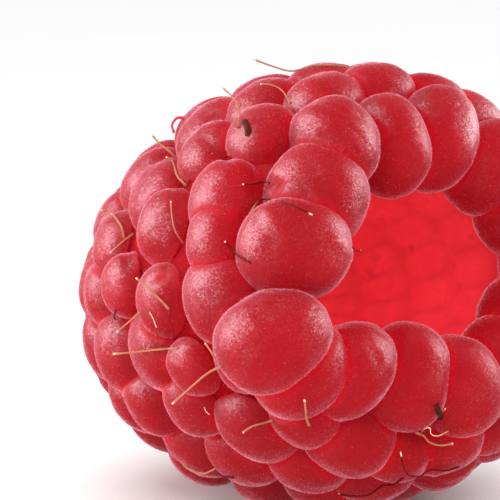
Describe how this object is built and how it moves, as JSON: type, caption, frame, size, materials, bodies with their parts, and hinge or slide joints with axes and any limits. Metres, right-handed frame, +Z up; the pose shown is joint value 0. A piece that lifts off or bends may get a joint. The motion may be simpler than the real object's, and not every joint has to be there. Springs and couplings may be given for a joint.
{
  "type": "raspberry",
  "caption": "Ripe raspberry as picked: plump drupelets grown together into a thick-walled cup with an open hollow, lying on its side.",
  "frame": {"origin": "middle of the footprint, on the surface the raspberry rests on", "axes": "+Z up, +X towards the open mouth of the hollow, which also points a little upwards, +Y to its left"},
  "size_m": [0.0218, 0.0214, 0.0192],
  "materials": {
    "ripe_fruit": "soft moist satin skin with a pale bloom, over translucent red flesh"
  },
  "bodies": {
    "root": {"raspberry": "ripe_fruit"}
  },
  "joints": []
}
